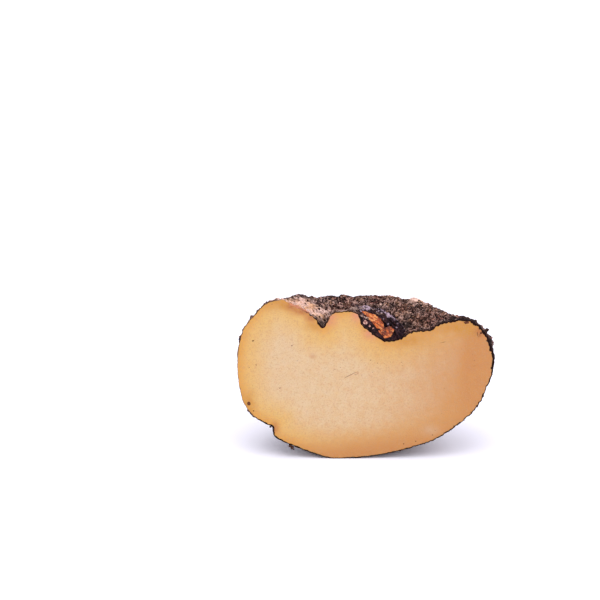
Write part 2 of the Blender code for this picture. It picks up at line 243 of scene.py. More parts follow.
# Marks on the flesh
SCRATCHES = [  # the two ends as (x, z), and the radius
    ((-18.4, 63.6), (-4.1, 70.8), 0.16),
    ((-9.5, 66.2), (-4.6, 68.9), 0.12),
    ((86.3, 101.8), (87.4, 96.2), 0.16),
    ((88.9, 101.2), (88.4, 96.8), 0.14),
    ((-26.0, 70.2), (-22.6, 71.6), 0.12),
    ((3.2, 78.0), (4.6, 79.3), 0.14),
    ((-2.0, 84.8), (-1.2, 84.0), 0.14),
    ((28.0, 74.6), (29.5, 73.8), 0.14),
    ((57.0, 92.0), (63.0, 93.4), 0.10),
]
FLECKS = [  # (x, z, wide, tall)
    (-87.7, 93.9, 1.2, 0.8),
    (-85.4, 74.8, 0.6, 0.6),
    (-57.4, 90.1, 0.6, 0.6),
    (-53.2, 78.1, 0.45, 0.45),
    (-66.7, 56.5, 0.5, 0.5),
    (-90.7, 73.0, 0.45, 0.45),
    (-72.7, 122.6, 0.6, 0.5),
    (-90.9, 44.0, 1.5, 2.3),
    (-87.4, 38.3, 0.6, 0.6),
    (30.2, 12.0, 0.6, 0.5),
    (52.8, 19.1, 0.7, 0.5),
    (54.8, 22.9, 0.6, 0.5),
    (39.7, 14.0, 0.5, 0.4),
    (-3.5, 78.3, 0.35, 0.3),
    (0.0, 74.8, 0.3, 0.3),
    (-2.9, 66.2, 0.35, 0.3),
    (9.3, 76.4, 0.3, 0.35),
    (14.5, 76.1, 0.3, 0.3),
    (19.5, 77.0, 0.35, 0.3),
    (27.8, 77.0, 0.35, 0.3),
    (-19.6, 72.8, 0.35, 0.3),
    (5.4, 69.1, 0.3, 0.3),
    (78.0, 108.2, 2.2, 1.0),
    (89.5, 100.0, 0.9, 0.8),
]
FLECK_THICK, FLECK_DEPTH, SCRATCH_DEPTH = 0.18, 0.08, 0.1

# The bud. Its profiles go from the foot to the tip of its axis, as (share along, across).
BUD_FOOT, BUD_TIP = (26.5, 95.0), (-8.5, 120.0)
BUD_ANGLE = -0.62
BUD_DEEP = 1.25
BUD_HIGH = [(0.0, 7.5), (0.2, 10.5), (0.45, 11.0), (0.7, 9.5), (0.85, 6.5), (1.0, 1.5)]
BUD_LOW = [(0.0, -3.0), (0.2, -7.4), (0.45, -3.8), (0.7, -2.4), (0.85, -1.0), (1.0, 0.3)]
SCALE_REACH, SCALE_FRONT = (0.62, 0.8, 0.92, 1.0), (1.6, 1.1, 0.8, 0.6)
SCALE_THICK = 1.3
SCALE_ROWS, SCALE_COLUMNS = 60, 44
# The lilac along the outer leaf's ridge, bloom and partly a painted highlight: the gap in it (middle,
# width) and where it starts.
BLOOM_AND_HIGHLIGHT_GAP, BLOOM_AND_HIGHLIGHT_STARTS = (0.66, 0.12), (0.2, 0.34)
BUD_FLAKES, BUD_FLAKE_RADIUS = 60, (0.3, 0.9)
# Pale lilac flakes near the bud's tip and on its ridge, full of bloom: partly a painted highlight.
PALE_FLAKES = [(-1.5, 1.6, 119.6, 2.0), (1.2, 1.6, 119.4, 2.2), (17.0, 2.4, 113.4, 2.0)]
CORE_HIGH = [(0.0, 0.5), (0.2, 1.8), (0.34, 2.6), (0.58, 4.6), (0.84, 1.8), (1.0, 0.9)]
CORE_LOBES = [  # darkness, depth of the front, and the lower and upper edge
    (
        1.0,
        0.7,
        [(0.16, -4.6), (0.24, -6.2), (0.34, -5.2), (0.44, -3.8), (0.52, -2.6)],
        [(0.16, 0.6), (0.21, 4.4), (0.27, 4.0), (0.33, 1.2), (0.4, -1.0), (0.52, -2.0)],
    ),
    (
        0.0,
        0.6,
        [(0.34, -1.4), (0.44, -3.0), (0.54, -2.2), (0.64, -1.4), (0.75, -0.6), (0.86, 0.4)],
        [(0.34, 0.6), (0.45, 3.4), (0.58, 4.8), (0.75, 3.0), (0.86, 1.2)],
    ),
]
CORE_ROWS, CORE_COLUMNS = 26, 14
BED_LOW = [(0.1, -5.0), (0.145, -6.3), (0.33, -8.4), (0.54, -8.6), (0.73, -7.6), (0.84, -3.6)]
BED_HIGH = [(0.1, -2.0), (0.33, 0.0), (0.6, 0.0), (0.84, 0.6)]
BED_FRONT, BED_ROWS, BED_COLUMNS = 1.5, 40, 20
NODULES = [(-0.4, 0.6, 108.2, 1.7), (3.0, 0.8, 105.4, 0.8), (5.8, 0.9, 103.6, 0.6)]
NODULE_OUTLINE = [(0.25, -0.25), (0.45, 0.1), (0.75, 0.2), (1.0, -0.1), (1.05, -0.6), (0.7, -1.6)]
NODULE_SIDES = 18

# Fine roots, fibres and soil
Threads = namedtuple("Threads", "count length radius proud steps sides lowest")
ROOTLETS = Threads(60, (8.0, 30.0), (0.25, 0.5), 0.5, 10, 6, 14.0)
FIBRES = Threads(700, (2.0, 7.0), (0.12, 0.26), 1.2, 4, 4, 10.0)
STRANDS = [  # the two ends, how many, and how far they spread
    ((-27.0, 2.2, 115.8), (-8.0, 1.6, 118.2), 16, 0.8),
    ((-14.0, 1.2, 118.4), (4.0, 0.9, 119.6), 20, 0.9),
    ((-4.4, 0.7, 114.6), (5.0, 0.6, 109.2), 20, 0.9),
    ((2.0, 0.9, 120.0), (16.0, 1.6, 113.0), 10, 1.4),
    ((-13.0, 1.0, 118.8), (-2.0, 1.2, 121.4), 12, 0.7),
]
STRAND_SHARE, STRAND_RADIUS = (0.12, 0.35), (0.1, 0.25)
CRUMBS, CRUMB_RADIUS = 260, (0.4, 1.3)
RIM_CRUMBS, RIM_CRUMB_RADIUS, RIM_CRUMBS_FROM = 120, (0.25, 0.6), -20.0
SINGLE_CRUMBS = [  # (x, y, z, radius)
    (93.2, 1.2, 100.4, 1.7),
    (94.0, 1.2, 102.2, 1.5),
    (-58.8, 0.8, 10.4, 1.4),
    (-57.2, 0.8, 8.8, 1.3),
    (-56.2, 0.8, 7.4, 0.8),
    (-74.2, 0.8, 25.4, 1.1),
    (87.2, 0.8, 42.0, 1.2),
    (82.8, 0.8, 37.4, 1.0),
    (69.8, 0.8, 25.9, 0.9),
    (41.0, 0.8, 101.8, 1.4),
    (46.6, 0.8, 102.4, 1.3),
]

# Colours, as sRGB in 255ths
BARK_DARK, BARK_MIDDLE, BARK_LIGHT = (44, 22, 22), (122, 72, 64), (176, 124, 110)
BARK_RED, BARK_OCHRE, BARK_LILAC = (126, 62, 42), (150, 100, 66), (180, 152, 154)
# The crack colour is the cracks' own dark and also painted shade, in cracks, gaps, hollows and the
# shaded patches.
BARK_PALE, CRACK_AND_SHADE, CUT_BARK = (232, 188, 174), (12, 4, 5), (32, 13, 11)
SCAB_TAN, SCAB_PINK = (190, 146, 116), (208, 170, 156)
CRUST_PALE, CRUST_TAN, CRUST_DARK = (246, 208, 192), (226, 176, 138), (128, 78, 62)
STAIN = (196, 122, 86)
FLESH_EDGE, FLESH_NEAR, FLESH_PALE = (196, 138, 55), (199, 160, 94), (197, 171, 134)
# The warm flesh colour is a warmer tone and also painted shade on the right and the bottom.
FLESH_WARM_AND_SHADE, FLESH_GRAIN, FLESH_SPECK = (176, 119, 65), (172, 129, 88), (124, 74, 42)
FLESH_TINTS = {
    "pink": (194, 122, 104),
    "glow": (176, 121, 42),
    "rust": (154, 84, 44),
    "rough": (182, 146, 112),
}
SCALE_DARK, SCALE_PURPLE = (16, 6, 8), (54, 32, 40)
# The lilac of the scales is bloom, and also a painted highlight on the ridge and the tip.
SCALE_BROWN, SCALE_BLOOM_AND_HIGHLIGHT = (96, 58, 52), (182, 156, 168)
CORE_ORANGE, CORE_DEEP = (190, 88, 26), (136, 54, 20)
CORE_LIGHT, CORE_BROWN = (212, 142, 82), (60, 22, 14)
PLAIN_GLOSS = 0.15
PLAIN_LOOKS = {  # roughness, dark and light colour, and the size of the patches
    "root_bark": (0.8, (78, 52, 44), (162, 126, 104), 2.5),
    "fibre": (0.75, (92, 62, 54), (198, 168, 154), 3.0),
    "stubs": (0.55, (120, 74, 66), (214, 168, 152), 0.9),
    "soil": (0.95, (26, 14, 12), (76, 50, 42), 1.5),
    "specks": (0.7, (58, 32, 22), (104, 58, 36), 1.0),
}

# Stage, in metres
SKY_COLOUR, SKY_STRENGTH = (0.92, 0.92, 1.0), 1.25
FLOOR_SIZE, FLOOR_COLOUR = 40.0, (0.94, 0.93, 0.99)
FLOOR_ROUGHNESS, FLOOR_GLOSS = 0.9, 0.1
LENS, SENSOR = 85.0, 36.0
CAMERA_PLACE, CAMERA_ELEVATION = (-0.0517, -1.1066, 0.3718), 13.0
LIGHTS = [  # name, direction, softness in degrees, strength, colour
    ("key", (0.15, 0.5, -1.0), 40.0, 0.65, (1.0, 0.985, 0.93)),
    ("fill", (-0.5, 0.8, -0.45), 60.0, 0.8, (0.99, 0.98, 1.0)),
]


def drawing(name):
    """The random draws of one kind of thing, apart from those of the others."""
    return random.Random(SEEDS[name])


def smoothstep(value, low, high):
    """0 below low, 1 above high, and a smooth rise between."""
    share = np.clip((value - low) / (high - low), 0.0, 1.0)
    return share * share * (3.0 - 2.0 * share)


def unit(vectors):
    return vectors / np.maximum(np.linalg.norm(vectors, axis=-1, keepdims=True), 1e-9)


def curve_through(points, steps):
    """Steps points a span along a smooth curve that passes through every given point."""
    points = np.array(points, float)
    chords = np.linalg.norm(np.diff(points, axis=0), axis=1)
    knots = np.concatenate([[0.0], np.cumsum(np.sqrt(chords))])
    tangents = np.gradient(points, knots, axis=0)
    share = np.linspace(0.0, 1.0, steps, endpoint=False)[:, None]
    bend = share * share * (3.0 - 2.0 * share)
    leave = share * (1.0 - share) ** 2
    arrive = share * share * (share - 1.0)
    spans = []
    for i, length in enumerate(np.diff(knots)):
        along = points[i] + bend * (points[i + 1] - points[i])
        spans.append(along + length * (leave * tangents[i] + arrive * tangents[i + 1]))
    return np.concatenate([*spans, points[-1:]])


def profile(points, along):
    """A smooth profile through a few (along, value) points."""
    curve = curve_through(points, 8)
    return np.interp(along, curve[:, 0], curve[:, 1])


def edge_rows(side, start, detail):
    """One edge of the corm as a point for each row, evenly spaced along each band."""
    points = [start]
    band_ends = [0]
    for band in BANDS:
        points += getattr(band, side)
        band_ends.append(len(points) - 1)
    curve = curve_through(points, CURVE_STEPS)
    lengths = np.linalg.norm(np.diff(curve, axis=0), axis=1)
    distance = np.concatenate([[0.0], np.cumsum(lengths)])
    wanted = [np.zeros(1)]
    for band, first, last in zip(BANDS, band_ends, band_ends[1:]):
        ends = distance[first * CURVE_STEPS], distance[last * CURVE_STEPS]
        wanted.append(np.linspace(*ends, band.rows * detail + 1)[1:])
    wanted = np.concatenate(wanted)
    return np.stack([np.interp(wanted, distance, axis) for axis in curve.T], axis=1)


def smooth_corm(detail):
    """The corm's surface before its relief: rows by columns of points."""
    left = edge_rows("left", GROWING_POINT, detail)
    right = edge_rows("right", GROWING_POINT, detail)
    back = edge_rows("back", (0.0, GROWING_POINT[1]), detail)
    angle = np.linspace(0.0, math.pi, COLUMNS * detail + 1)[None, :]
    across, behind = np.cos(angle), np.sin(angle)
    middle = (left + right)[:, :, None] / 2.0
    half = (right - left)[:, :, None] / 2.0
    swell = RIGHT_SWELL * smoothstep(middle[:, 1], SWELL_FROM, SWELL_FULL)
    x = middle[:, 0] + half[:, 0] * (across + swell * behind * np.clip(across, 0.0, None))
    y = back[:, 0, None] * behind
    z = middle[:, 1] + half[:, 1] * across + (back[:, 1, None] - middle[:, 1]) * behind**2
    on_rim = smoothstep(z, *SKEW_HEIGHTS) * smoothstep(back[:, 0, None], *SKEW_DEPTHS)
    z += CROWN_SKEW * across * behind**4 * on_rim
    return np.stack([x, y, z], axis=2)


def normals_of(grid):
    """The unit normal at every point of a surface, outwards."""
    down, round_back = np.gradient(grid, axis=(0, 1))
    return unit(np.cross(down, round_back))


def lumps_at(point):
    return sum(height * noise.noise(Vector(point) / width) for width, height in LUMPS)


def boss_spots(grid, draw):
    """The rows and columns of the root bosses, drawn evenly over the skin and kept apart."""
    first_row = STEM_SCAR.rows + SCAR_SIDE.rows + MOAT.rows
    size = np.linalg.norm(np.cross(*np.gradient(grid, axis=(0, 1))), axis=2)
    allowed = (grid[:, :, 1] > RELIEF_FREE) & (grid[:, :, 2] > BOSS_LOWEST)
    spots = []
    while len(spots) < BOSSES:
        spot = draw.randrange(first_row, len(grid)), draw.randrange(COLUMNS + 1)
        clear = all(np.linalg.norm(grid[spot] - grid[other]) > BOSS_SPACING for other in spots)
        if clear and allowed[spot] and draw.random() < size[spot] / size.max():
            spots.append(spot)
    return spots


def down_from_top(grid):
    """The distance of every point down the surface from the growing point."""
    steps = np.linalg.norm(np.diff(grid, axis=0), axis=2)
    return np.concatenate([np.zeros((1, grid.shape[1])), np.cumsum(steps, axis=0)])


def solid_relief(grid, bosses):
    """Height of the solid's lumps, crown wrinkles, root bosses and dips at every point."""
    height = np.apply_along_axis(lumps_at, 2, grid)
    distance = down_from_top(grid)
    wrinkles = np.sin(2.0 * math.pi * distance / WRINKLE_PITCH)
    fading = 1.0 - smoothstep(distance, WRINKLED_FROM, WRINKLED_UNTIL)
    height += WRINKLE_HEIGHT * wrinkles * fading
    for centre, radius, tall in (*bosses, *DIPS):
        away = np.linalg.norm(grid - centre, axis=2) / radius
        height += tall * np.clip(1.0 - away**2, 0.0, None) ** 2
    height *= smoothstep(grid[:, :, 1], 0.0, RELIEF_FREE)
    height *= smoothstep(grid[:, :, 2], RUBBED_TO, RUBBED_FROM)
    return height


def each(function, points):
    """A function's values at every point of an array."""
    flat = [function(Vector(point)) for point in points.reshape(-1, 3)]
    return np.array(flat).reshape(*points.shape[:-1], -1)


def noise_on(points, width, apart=(0.0, 0.0, 0.0)):
    """Noise of one width at every point, as one value in a last axis of its own."""
    apart = Vector(apart)
    return each(lambda p: noise.noise(p / width + apart), points)


def plate_at(point, width):
    """Bark plates at a point: how far inside one it lies, from 0 at a crack, and its own tint."""
    bent = point / width + 0.55 * noise.noise_vector(point / (1.6 * width))
    near, seeds = noise.voronoi(bent)
    tint = 0.5 + 0.5 * noise.cell(seeds[0] * 37.7)
    return near[1] - near[0], tint


def fine_relief(grid, bosses, draw):
    """The bark's fine relief, with the paleness of its plates and the depth of its cracks."""
    height = np.zeros(grid.shape[:2])
    pale = np.zeros(grid.shape[:2])
    cracks = np.ones(grid.shape[:2])
    for width, tall, paleness in PLATES:
        inside, tint = np.moveaxis(each(lambda p: plate_at(p, width), grid), -1, 0)
        plate = smoothstep(inside, 0.03, 0.32)
        height += tall * (plate * (0.35 + 0.65 * tint) - 0.4)
        middle = smoothstep(tint, 0.58, 0.8) * smoothstep(inside, 0.08, 0.3)
        pale = np.maximum(pale, paleness * middle)
        cracks *= 0.25 + 0.75 * plate
    for width, tall in GRAIN:
        height += tall * each(lambda p: noise.fractal(p / width, 0.7, 2.1, 3), grid)[..., 0]
    pitch, tall = RINGS
    distance = down_from_top(grid)
    drift = RING_DRIFT * noise_on(grid, DRIFT_WIDTH)[..., 0]
    rings = np.sin(2.0 * math.pi * (distance + drift) / pitch)
    height += tall * rings * (1.0 - smoothstep(distance, WRINKLED_FROM, WRINKLED_UNTIL))
    for centre, radius, tall in bosses:
        away = np.linalg.norm(grid - centre, axis=2) / radius
        height -= 0.5 * tall * np.exp(-((away / 0.28) ** 2))
    tree = tree_of(grid)
    flat = height.reshape(-1)
    for _ in range(SCARS):
        spot = grid.reshape(-1, 3)[draw.randrange(grid.shape[0] * grid.shape[1])]
        radius, tall = draw.uniform(*SCAR_RADIUS), draw.uniform(*SCAR_HEIGHT)
        for _, index, away in tree.find_range(spot, radius):
            share = away / radius
            flat[index] += tall * ((1.0 - share**2) ** 2 - 0.7 * math.exp(-((share / 0.35) ** 2)))
    return height, pale, cracks


def tree_of(points):
    """A tree that finds the nearest of many points."""
    points = points.reshape(-1, 3)
    tree = kdtree.KDTree(len(points))
    for index, point in enumerate(points):
        tree.insert(point, index)
    tree.balance()
    return tree


def rim_of(grid):
    """The rim of the cut face, from the growing point down its left side and up its right one."""
    return np.concatenate([grid[:, -1], grid[-2:0:-1, 0]])


def place_in_model(rim):
    """The matrix from the cut face's frame to the model's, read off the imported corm."""
    mount = next(m for m in frame["record"]["mounts"] if m["name"] == "cut_face")
    out = Vector(mount["axis"]).normalized()
    right = Vector((1.0, 0.0, 0.0))
    up = right.cross(-out)
    face_level = Vector(mount["pos_m"]).dot(out)
    points = [vertex.co for vertex in frame["nodes"]["corm"].data.vertices]
    on_cut = [point for point in points if abs(point.dot(out) - face_level) < ON_CUT]
    left_end = min(point.dot(right) for point in on_cut)
    top = max(point.dot(up) for point in on_cut)
    origin = (left_end - rim[:, 0].min() * MM) * right
    origin += (top - rim[:, 2].max() * MM) * up
    origin += face_level * out
    place = Matrix.Translation(origin)
    turn = Matrix((right, -out, up)).transposed().to_4x4()
    return place @ turn @ Matrix.Scale(MM, 4)


def piece(name, points, faces, material, slot, replaces=None, **attributes):
    """A piece of the model from points in the frame of the cut face, kept above the floor."""
    points = np.c_[points, np.ones(len(points))] @ np.array(PLACE).T
    points[:, 2] = np.clip(points[:, 2], 0.0, None)
    mesh = bpy.data.meshes.new(name)
    mesh.from_pydata(points[:, :3].tolist(), [], faces)
    mesh.validate()
    mesh.shade_smooth()
    mesh.set_sharp_from_angle(angle=math.radians(SHARP_ANGLE))
    for key, values in attributes.items():
        mesh.attributes.new(key, "FLOAT", "POINT").data.foreach_set("value", np.ravel(values))
    mesh.materials.append(material)
    obj = bpy.data.objects.new(name, mesh)
    bpy.context.collection.objects.link(obj)
    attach(obj, BODY)
    if replaces:
        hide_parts(replaces)


def plain_piece(name, slot, look, parts):
    """A piece of many small parts, in a plain material."""
    roughness, dark, light, size = PLAIN_LOOKS[look]
    shader = Shader(look, roughness, PLAIN_GLOSS, dark)
    tone, fine = shader.noise(size, 4.0, 0.5), shader.noise(0.6, 2.0)
    shader.paint(tone, 0.38, 0.64, light)
    points, faces = joined(parts)
    piece(name, points, faces, shader.finish([(tone, 0.4), (fine, 0.3)]), slot)


def fill(loop, inner=()):
    """Triangles that fill a closed flat loop of (x, z), with more points inside it."""
    flat = [Vector(point) for point in (*loop, *inner)]
    edges = [(i, (i + 1) % len(loop)) for i in range(len(loop))]
    made = geometry.delaunay_2d_cdt(flat, edges, [], 1, 1e-6)
    source = [origin[0] for origin in made[3]]
    return [tuple(source[i] for i in face) for face in made[2]]


def inside(points, loop):
    """Which of many (x, z) points lie inside a closed loop."""
    odd = np.zeros(len(points), bool)
    for start, end in zip(loop, np.roll(loop, -1, axis=0)):
        crosses = (start[1] > points[:, 1]) != (end[1] > points[:, 1])
        rise = end[1] - start[1]
        if rise:
            where = start[0] + (points[:, 1] - start[1]) * (end[0] - start[0]) / rise
            odd ^= crosses & (points[:, 0] < where)
    return odd


def blended(points, spots, reach):
    """The value at every point, blended from the nearest of some spots of (x, z, value)."""
    spots = np.array(spots)
    away = np.linalg.norm(points[:, None, [0, 2]] - spots[None, :, :2], axis=2)
    weight = np.exp(-((away / reach) ** 2)) + 1e-12 / (1.0 + away**4)
    return (weight * spots[:, 2]).sum(axis=1) / weight.sum(axis=1)


def patches(points, spots):
    """How deep every point lies in some ellipsoids of (centre, radii), 1 in each one's middle."""
    return sum(
        np.exp(-(((points - np.array(centre)) / np.array(radii)) ** 2).sum(axis=-1))
        for centre, radii in spots
    )


def strip(first, second):
    """The faces between two closed loops of point numbers."""
    following = np.roll(first, -1), np.roll(second, -1)
    return np.stack([first, following[0], following[1], second], axis=1).tolist()


def mesh_grid(numbers):
    """The faces of a grid of point numbers, outwards for rows down and columns round the back."""
    corners = numbers[:-1, :-1], numbers[1:, :-1], numbers[1:, 1:], numbers[:-1, 1:]
    return np.stack([corner.ravel() for corner in corners], axis=1).tolist()


def lofted(rings, flipped=False):
    """A closed body from closed rings of points, with a face on the first and the last of them."""
    numbers = np.arange(rings.shape[0] * rings.shape[1]).reshape(rings.shape[:2])
    faces = []
    for lower, upper in zip(numbers, numbers[1:]):
        faces += [face[::-1] for face in strip(lower, upper)] if flipped else strip(upper, lower)
    faces += [numbers[0].tolist(), numbers[-1, ::-1].tolist()]
    return rings.reshape(-1, 3), faces


def corm_surface(smooth, bosses, draw):
    """The bark's surface, with the height and paleness of its plates and the depth of its cracks."""
    height, pale, cracks = fine_relief(smooth, bosses, draw)
    depth = smooth[..., 1]
    ragged = smoothstep(smooth[..., 0], *RAGGED_OVER)
    ragged = RAGGED_LEFT + (RAGGED_RIGHT - RAGGED_LEFT) * ragged
    height *= ragged + (1.0 - ragged) * smoothstep(depth, 0.0, RAGGED_DEPTH)
    height *= 0.35 + 0.65 * smoothstep(smooth[..., 2], RUBBED_TO, RUBBED_FROM)
    direction = normals_of(smooth)
    direction[..., 1] *= smoothstep(depth, 0.0, 3.0)
    direction = unit(direction)
    rise = height + solid_relief(smooth, bosses)
    for x, z, dent, radius in NICKS:
        away = np.linalg.norm(smooth - (x, 0.0, z), axis=2) / radius
        rise = rise - dent * np.exp(-(away**2))
    surface = smooth + rise[..., None] * direction
    surface[..., 1] = np.maximum(surface[..., 1], 0.0)
    surface[:, [0, -1], 1] = 0.0
    return surface, height, pale, cracks


def loops_of(smooth, surface):
    """The rim of the cut, and the front and back loops of the recess for the flesh."""
    rim, even = rim_of(surface), rim_of(smooth)
    ahead = np.roll(even, -3, axis=0) - np.roll(even, 3, axis=0)
    out = unit(np.stack([ahead[:, 2], np.zeros(len(even)), -ahead[:, 0]], axis=1))
    thick = blended(even, BARK_EDGE, EDGE_REACH)
    thick *= 1.0 + 0.75 * noise_on(even, 2.6)[:, 0]
    front = rim - thick[:, None] * out
    back = front - RECESS_DRAFT * out
    back[:, 1] = RECESS
    return rim, front, back, out


def make_skin(surface, front, back, marks, material):
    """The bark, as a closed body with a recess in the cut face."""
    rows, columns = surface.shape[:2]
    numbers = np.arange((rows - 2) * columns).reshape(rows - 2, columns)
    top = numbers.size
    bottom = top + 1
    points = [surface[1:-1].reshape(-1, 3), surface[[0, -1], 0], front, back]
    rim = np.concatenate([[top], numbers[:, -1], [bottom], numbers[::-1, 0]])
    inner = bottom + 1 + np.arange(len(front))
    deep = inner + len(front)
    faces = mesh_grid(numbers)
    for i in range(columns - 1):
        faces.append((top, numbers[0, i], numbers[0, i + 1]))
        faces.append((bottom, numbers[-1, i + 1], numbers[-1, i]))
    faces += strip(rim, inner) + strip(inner, deep)
    faces += [tuple(deep[i] for i in face) for face in fill(back[:, [0, 2]])]
    points = np.concatenate(points)
    values = {}
    for key, grid in marks.items():
        spread = np.concatenate([grid[1:-1].ravel(), grid[[0, -1], 0]])
        values[key] = np.concatenate([spread, np.zeros(2 * len(front))])
    values["cracks"][inner] = values["cracks"][deep] = 1.0
    values["cut"] = np.zeros(len(points))
    values["cut"][inner] = values["cut"][deep] = 1.0
    values["cut"][rim] = 0.5
    # The cut bark is paler at the top left and the left: partly its cream colour, partly a painted
    # highlight.
    values["cut"] *= 1.0 - 0.8 * patches(points, PALE_RIM)
    for key, spots in SKIN_PATCHES.items():
        values[key] = np.clip(patches(points, spots), 0.0, 1.0)
    piece("skin", points, faces, material, "bark", "corm", **values)


def make_flesh(front, back, out, draw, material):
    """The flesh, as a slab in the recess, with its cut face open in front."""
    front = front - SEAM * out
    back = back - SEAM * out
    back[:, 1] -= SEAM
    loop = front[:, [0, 2]]
    low, high = loop.min(axis=0), loop.max(axis=0)
    spaced = [np.arange(a, b, FLESH_STEP) for a, b in zip(low, high)]
    inner = np.stack(np.meshgrid(*spaced), axis=-1).reshape(-1, 2)
    shake = np.array([(draw.uniform(-0.3, 0.3), draw.uniform(-0.3, 0.3)) for _ in inner])
    inner = inner + FLESH_STEP * shake
    inner = inner[inside(inner, loop)]
    rim_tree = tree_of(np.insert(loop, 1, 0.0, axis=1))
    distance = np.array([rim_tree.find((x, 0.0, z))[2] for x, z in inner])
    clear = distance > 0.6 * FLESH_STEP
    inner, distance = inner[clear], distance[clear]
    count = len(front)
    points = np.concatenate([front, np.insert(inner, 1, 0.0, axis=1), back])
    wave = each(lambda p: 0.16 * noise.noise(p / 21.0) + 0.05 * noise.noise(p / 3.5), points)[:, 0]
    settled = np.concatenate([np.zeros(count), smoothstep(distance, 0.0, 3.0)])
    points[: len(settled), 1] += 0.12 * (1.0 - smoothstep(settled, 0.0, 0.5))
    points[: len(settled), 1] += wave[: len(settled)] * settled + 0.02
    faces = fill(loop, inner)
    edge = np.arange(count)
    deep = len(settled) + edge
    faces += [face[::-1] for face in strip(edge, deep)]
    faces += [tuple(deep[i] for i in reversed(face)) for face in fill(back[:, [0, 2]])]
    values = {"rim": np.concatenate([np.zeros(count), distance, np.zeros(count)])}
    for key, flat_spots in FLESH_PATCHES.items():
        spots = [
            ((x, 0.0, z), (wide, FLESH_PATCH_DEPTH, tall)) for (x, z), (wide, tall) in flat_spots
        ]
        values[key] = np.clip(patches(points, spots), 0.0, 1.0)
    piece("flesh_cut", points, faces, material, "flesh", **values)


def joined(parts):
    """One list of points and one of faces from many."""
    points, faces, start = [], [], 0
    for some_points, some_faces in parts:
        points.append(some_points)
        faces += [tuple(start + i for i in face) for face in some_faces]
        start += len(some_points)
    return np.concatenate(points), faces


def tube(path, ups, radii, sides):
    """A closed tapered tube along a path, with an up direction at each of its points."""
    path, ups = np.array(path), np.array(ups)
    ahead = unit(np.gradient(path, axis=0))
    side = unit(np.cross(ahead, ups))
    up = np.cross(side, ahead)
    angle = np.linspace(0.0, 2.0 * math.pi, sides, endpoint=False)
    spoke = np.cos(angle)[None, :, None] * side[:, None] + np.sin(angle)[None, :, None] * up[:, None]
    return lofted(path[:, None] + np.array(radii)[:, None, None] * spoke)


class Ground:
    """A surface that lines can be laid on."""

    def __init__(self, grid):
        self.points = grid.reshape(-1, 3)
        self.normals = normals_of(grid).reshape(-1, 3)
        self.tree = tree_of(grid)

    def under(self, point):
        """The surface's point and normal nearest to a point."""
        _, index, _ = self.tree.find(point)
        return self.points[index], self.normals[index]

    def away_from_cut(self, depth, lowest):
        """The numbers of its points that lie behind a depth and above a height."""
        return np.flatnonzero((self.points[:, 1] > depth) & (self.points[:, 2] > lowest))

    def walk(self, point, length, heading, turning, steps):
        """A line over the surface from a point."""
        path = []
        for _ in range(steps):
            on_bark, out = self.under(point)
            point = point - out * np.dot(point - on_bark, out)
            path.append(point)
            east = unit(np.cross((0.0, 0.0, 1.0), out))
            north = np.cross(out, east)
            step = length / (steps - 1)
            point = point + step * (math.cos(heading) * east + math.sin(heading) * north)
            heading += turning
        return np.array(path)

    def lay(self, path, radius, proud):
        """A path brought onto the surface, with its ends sunk into it, and its up directions."""
        laid, ups = [], []
        for i, point in enumerate(path):
            on_bark, out = self.under(point)
            inward = min(i, len(path) - 1 - i) / (0.12 * len(path))
            height = radius * (proud + (ROOT_SUNK + proud) * (min(inward, 1.0) - 1.0))
            laid.append(point + out * (height - np.dot(point - on_bark, out)))
            ups.append(out)
        laid, ups = np.array(laid), np.array(ups)
        for values in (laid, ups):
            values[1:-1] = 0.25 * values[:-2] + 0.5 * values[1:-1] + 0.25 * values[2:]
        return laid, ups


def thread_roots(solid, spots, bark, draw):
    """The solid's thread roots, laid on the finer bark."""
    lowest, highest = ROOT_HEIGHTS
    on_flank = [s for s in spots if lowest < solid[s][2] < highest and solid[s][1] > ROOT_DEPTH]
    ground = Ground(solid)
    made = []
    for spot in draw.sample(on_flank, ROOTS):
        length, heading = draw.uniform(*ROOT_LENGTH), draw.uniform(0.0, 2.0 * math.pi)
        turning = draw.uniform(-ROOT_TURN, ROOT_TURN)
        path = curve_through(ground.walk(solid[spot], length, heading, turning, ROOT_STEPS), 6)
        path += 0.5 * each(lambda p: noise.noise_vector(p / 6.0), path)
        laid, ups = bark.lay(path, ROOT_RADIUS, ROOT_PROUD + 0.15)
        taper = np.linspace(ROOT_RADIUS, ROOT_TIP * ROOT_RADIUS, len(laid))
        made.append(tube(laid, ups, taper * (1.0 + 0.16 * noise_on(laid, 2.2)[:, 0]), 10))
    return made


def strewn(kind, bark, draw):
    """Fine threads of one kind, strewn over the bark."""
    allowed = bark.away_from_cut(2.5, kind.lowest)
    made = []
    for _ in range(kind.count):
        start = bark.points[draw.choice(allowed)]
        length, radius = draw.uniform(*kind.length), draw.uniform(*kind.radius)
        heading, turning = draw.uniform(0.0, 2.0 * math.pi), draw.uniform(-0.3, 0.3)
        path = curve_through(bark.walk(start, length, heading, turning, kind.steps), 3)
        path[:, 1] = np.maximum(path[:, 1], 1.2)
        laid, ups = bark.lay(path, radius, kind.proud)
        made.append(tube(laid, ups, np.linspace(radius, 0.5 * radius, len(laid)), kind.sides))
    return made


def strands(draw):
    """Torn fibres in bundles between the flesh and the bud."""
    made = []
    for start, end, count, spread in STRANDS:
        start, end = np.array(start), np.array(end)
        for _ in range(count):
            first = draw.uniform(0.0, 0.8)
            shares = np.linspace(first, first + draw.uniform(*STRAND_SHARE), 3)[:, None]
            shake = [[draw.uniform(-spread, spread) for _ in start] for _ in shares]
            path = curve_through(start + shares * (end - start) + shake, 6)
            path[:, 1] = np.maximum(path[:, 1], 0.45)
            ups = np.tile((0.0, -1.0, 0.0), (len(path), 1))
            radius = draw.uniform(*STRAND_RADIUS)
            made.append(tube(path, ups, np.linspace(radius, 0.5 * radius, len(path)), 6))
    return made


